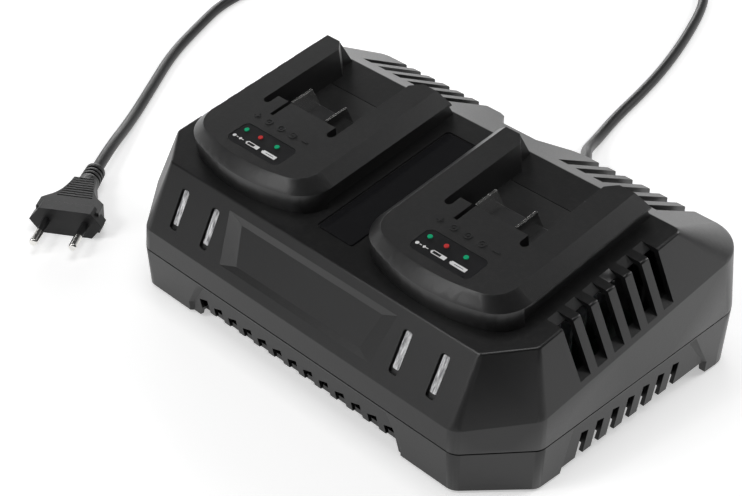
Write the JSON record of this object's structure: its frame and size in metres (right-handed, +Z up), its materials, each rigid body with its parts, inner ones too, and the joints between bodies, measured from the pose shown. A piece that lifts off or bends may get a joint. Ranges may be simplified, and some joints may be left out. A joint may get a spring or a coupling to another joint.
{
  "type": "power tool battery charger",
  "caption": "Pitched charger housing with side-by-side slide docks, contact blades, cooling slots and a mains lead with a flat plug.",
  "frame": {"origin": "on the ground under the middle of the housing, cord left out", "axes": "+Z up, +X to the object's right along its long side, +Y to its rear"},
  "size_m": [0.4062, 0.4846, 0.0935],
  "materials": {
    "housing": "fine spark-eroded black moulding",
    "dock": "satin black moulding",
    "insulator": "satin dark grey moulding",
    "contact": "nickel-plated strip",
    "label": "dark printed film",
    "led_green": "green lens",
    "led_red": "red lens",
    "light_guide": "frosted clear acrylic",
    "gloss_black": "polished black",
    "rubber": "matt",
    "screw": "zinc-plated",
    "circuit_board": "solder mask",
    "core": "ferrite and winding tape",
    "capacitor": "shrink sleeve",
    "heat_sink": "mill finish",
    "fuse_glass": "clear",
    "clip": "bright",
    "connector": "satin",
    "cord": "soft PVC",
    "plug": "satin PVC",
    "pin": "nickel-plated"
  },
  "bodies": {
    "root": {"lower_shell": "housing", "upper_shell": "housing", "left_dock": "dock", "right_dock": "dock", "left_terminal_block": "insulator", "right_terminal_block": "insulator", "left_blades": "contact", "right_blades": "contact", "left_display_label": "label", "right_display_label": "label", "left_green_leds": "led_green", "right_green_leds": "led_green", "left_red_led": "led_red", "right_red_led": "led_red", "left_led_board": "circuit_board", "right_led_board": "circuit_board", "left_light_guides": "light_guide", "right_light_guides": "light_guide", "centre_plate": "gloss_black", "rubber_feet": "rubber", "housing_screws": "screw", "circuit_board": "circuit_board", "board_screws": "screw", "transformer": "core", "capacitors": "capacitor", "heat_sinks": "heat_sink", "choke": "core", "fuse": "fuse_glass", "fuse_clips": "clip", "terminal_connector": "connector", "cable_strain_relief": "cord", "inner_lead": "cord", "mains_cord": "cord", "cord_coil": "cord", "coil_tie": "cord", "plug_body": "plug", "plug_pins": "pin", "pin_sleeves": "plug"}
  },
  "joints": []
}
